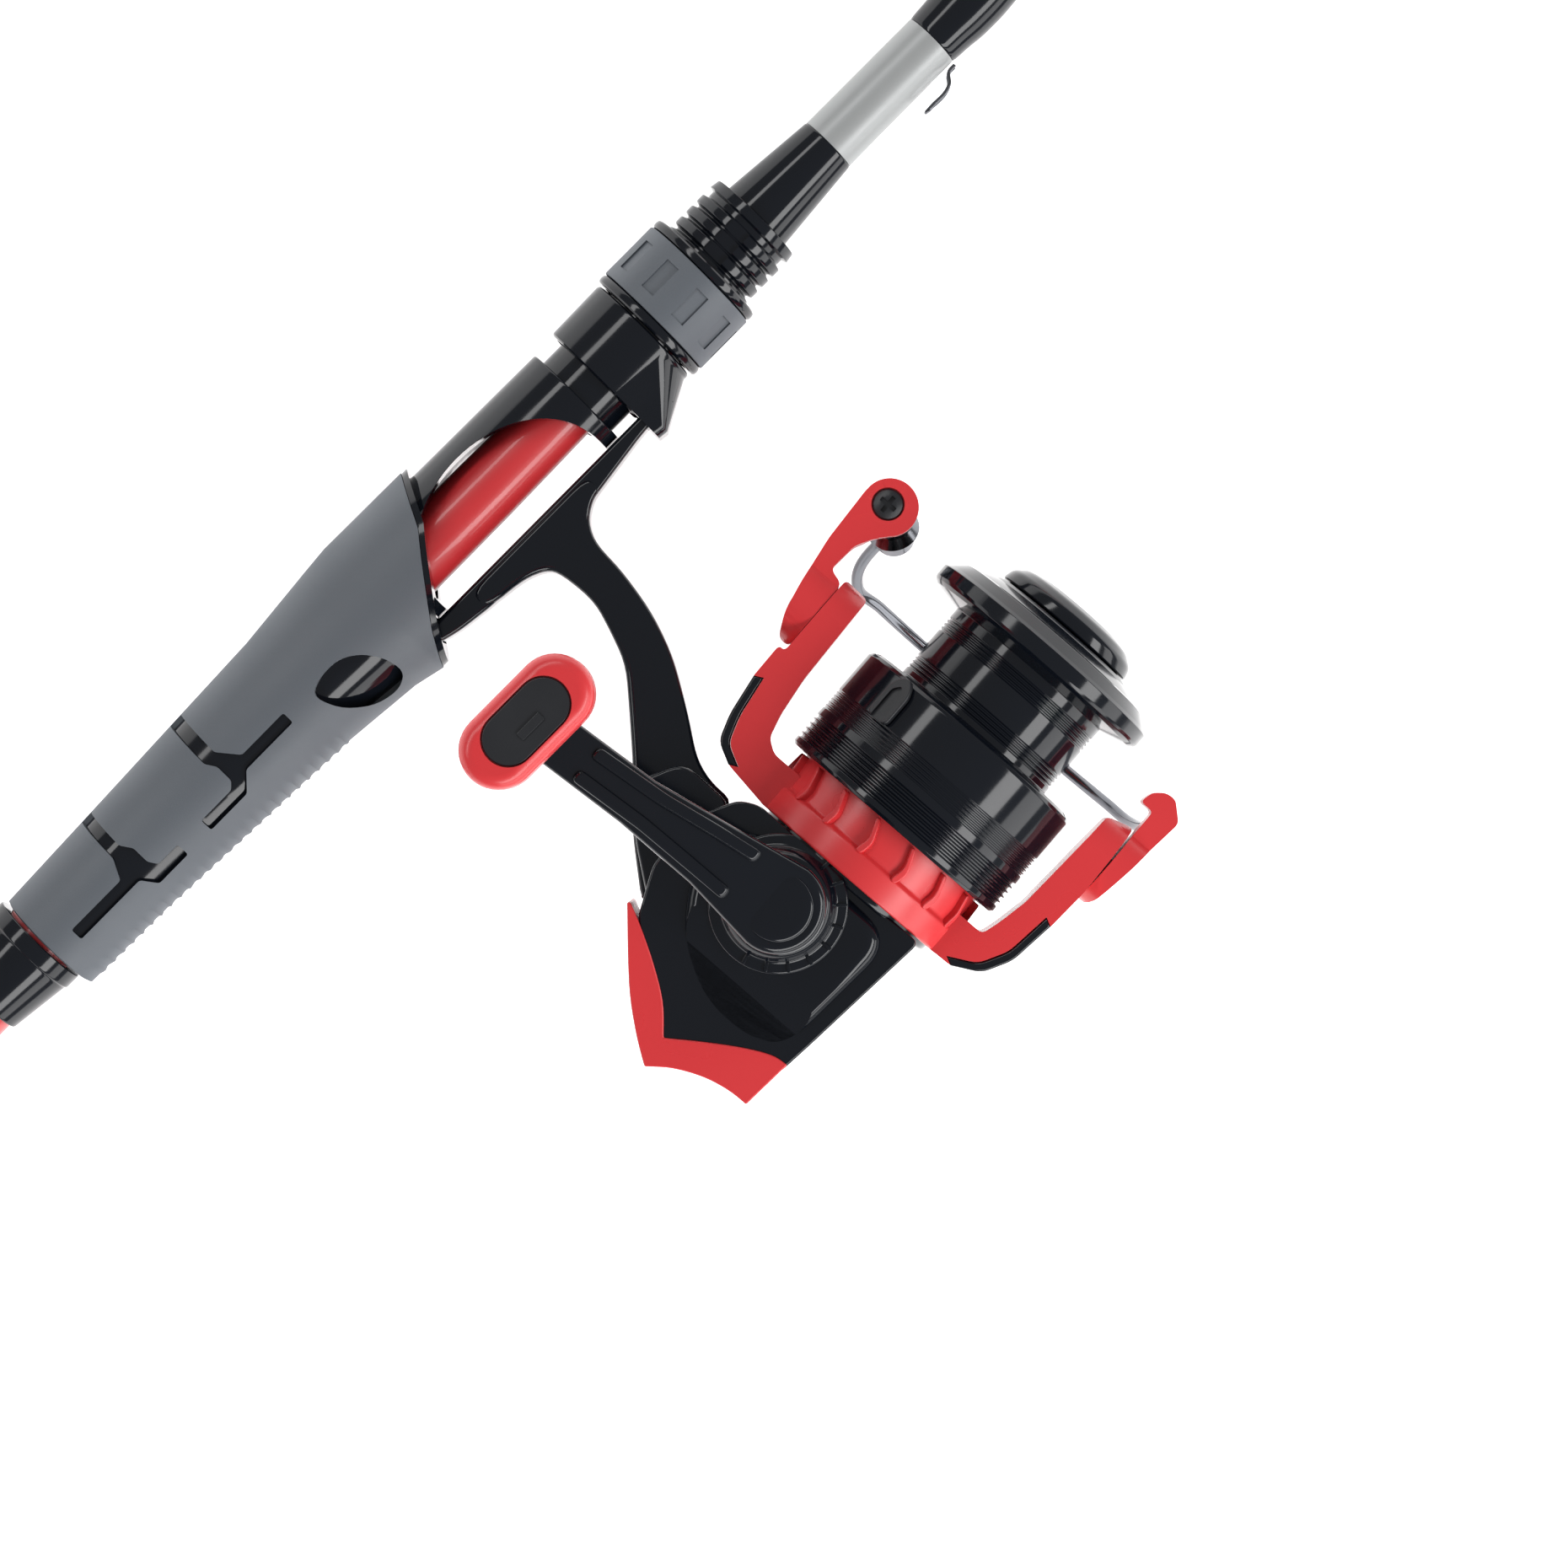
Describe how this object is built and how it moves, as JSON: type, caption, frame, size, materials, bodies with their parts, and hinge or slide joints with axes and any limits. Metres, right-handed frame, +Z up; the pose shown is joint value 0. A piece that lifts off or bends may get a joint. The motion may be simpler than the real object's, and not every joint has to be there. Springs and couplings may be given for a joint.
{
  "type": "spinning rod and reel",
  "caption": "Two-piece spinning fishing rod with a skeleton reel seat and a spinning reel: crank, rotor, flip bail, line roller, spool and front drag.",
  "frame": {"origin": "centre of the footprint on the surface that the rod and reel lie on", "axes": "+X along the rod from the butt to the tip, -Y toward the reel, +Z up; the reel lies on its side with the crank up"},
  "size_m": [1.83, 0.1424, 0.1053],
  "materials": {
    "satin_black": "satin moulded black",
    "foam": "matt closed-cell foam",
    "red_blank": "lacquered red",
    "gloss_black": "high gloss blue-black",
    "silver_label": "satin silver grey",
    "dark_chrome": "dark polished",
    "grey_rubber": "soft-touch satin grey",
    "ceramic": "polished ceramic",
    "red_plastic": "semi-gloss red",
    "steel": "turned",
    "brass": "machined",
    "felt": "felt"
  },
  "bodies": {
    "rod": {"butt_cap": "satin_black", "rear_grip": "foam", "butt_blank": "red_blank", "front_cone": "gloss_black", "label_band": "silver_label", "keeper_wrap": "gloss_black", "hook_keeper": "dark_chrome", "grip_end_check": "gloss_black", "grip_sleeve": "grey_rubber", "reel_seat": "gloss_black", "guide_frame_1": "dark_chrome", "guide_ring_1": "ceramic", "reel_body": "gloss_black", "side_cover": "gloss_black", "cover_screw_1": "steel", "cover_screw_2": "steel", "cover_screw_3": "steel", "rear_cover": "red_plastic", "handle_port_cap": "satin_black", "crank_bearing_right": "steel", "crank_bearing_left": "steel", "pinion_bearing": "steel", "one_way_bearing": "steel"},
    "tip_section": {"tip_blank": "red_blank", "ferrule_wrap": "gloss_black", "guide_frame_2": "dark_chrome", "guide_ring_2": "ceramic", "guide_frame_3": "dark_chrome", "guide_ring_3": "ceramic", "guide_frame_4": "dark_chrome", "guide_ring_4": "ceramic", "tip_top_frame": "dark_chrome", "tip_top_ring": "ceramic"},
    "hood": {"sliding_hood": "gloss_black"},
    "nut": {"lock_nut": "gloss_black", "lock_nut_grip": "grey_rubber"},
    "crank": {"drive_gear": "brass", "handle_arm": "gloss_black", "knob_pin": "steel"},
    "knob": {"handle_knob": "red_plastic", "knob_cap": "satin_black"},
    "rotor": {"pinion_gear": "brass", "rotor": "red_plastic", "arm_cover_upper": "gloss_black", "arm_cover_lower": "gloss_black", "rotor_nut": "steel", "bail_pivot_screw_upper": "steel", "bail_pivot_screw_lower": "steel"},
    "bail": {"bail_lever": "red_plastic", "bail_holder": "red_plastic", "bail_wire": "dark_chrome", "roller_screw": "steel", "roller_screw_cap": "satin_black"},
    "roller": {"line_roller": "dark_chrome"},
    "shaft": {"main_shaft": "steel", "crosswind_block": "brass"},
    "spool": {"spool": "gloss_black", "line_clip": "satin_black", "drag_washers": "felt"},
    "drag_knob": {"drag_knob": "gloss_black"}
  },
  "joints": [
    {"name": "handle_crank", "type": "hinge", "parent": "rod", "child": "crank", "pos_m": [-0.63726, -0.02216, 0.06019], "axis": [0, 0.3016, 0.9534], "continuous": true},
    {"name": "knob_spin", "type": "hinge", "parent": "crank", "child": "knob", "pos_m": [-0.64419, 0.04216, 0.09229], "axis": [0, 0.3016, 0.9534], "continuous": true},
    {"name": "rotor_spin", "type": "hinge", "parent": "rod", "child": "rotor", "pos_m": [-0.58802, -0.03139, 0.04213], "axis": [0.9977, 0.0648, -0.0205], "continuous": true},
    {"name": "bail_flip", "type": "hinge", "parent": "rotor", "child": "bail", "pos_m": [-0.59325, -0.03173, 0.04224], "axis": [0.068, -0.9512, 0.3009], "range_deg": [0, 125]},
    {"name": "line_roller_spin", "type": "hinge", "parent": "bail", "child": "roller", "pos_m": [-0.57303, 0.0051, 0.02849], "axis": [0.2616, 0.6675, 0.6971], "continuous": true},
    {"name": "spool_stroke", "type": "slide", "parent": "rod", "child": "shaft", "axis": [0.9977, 0.0648, -0.0205], "range_m": [-0.0035, 0.008]},
    {"name": "spool_drag", "type": "hinge", "parent": "shaft", "child": "spool", "pos_m": [-0.58802, -0.03139, 0.04213], "axis": [0.9977, 0.0648, -0.0205], "continuous": true},
    {"name": "drag_knob_turn", "type": "hinge", "parent": "shaft", "child": "drag_knob", "pos_m": [-0.58802, -0.03139, 0.04213], "axis": [0.9977, 0.0648, -0.0205], "range_deg": [-360, 360]},
    {"name": "hood_slide", "type": "slide", "parent": "rod", "child": "hood", "axis": [1, 0, 0], "range_m": [0, 0.008]},
    {"name": "nut_turn", "type": "hinge", "parent": "hood", "child": "nut", "pos_m": [-0.575, 0.05709, 0.01415], "axis": [1, 0, 0], "range_deg": [0, 1066]},
    {"name": "ferrule_pull", "type": "slide", "parent": "rod", "child": "tip_section", "axis": [1, 0, 0], "range_m": [0, 0.08]}
  ],
  "couplings": [
    {"joint": "rotor_spin", "follows": "handle_crank", "ratio": 5},
    {"joint": "hood_slide", "follows": "nut_turn", "m_per_rad": 0.00042972}
  ]
}
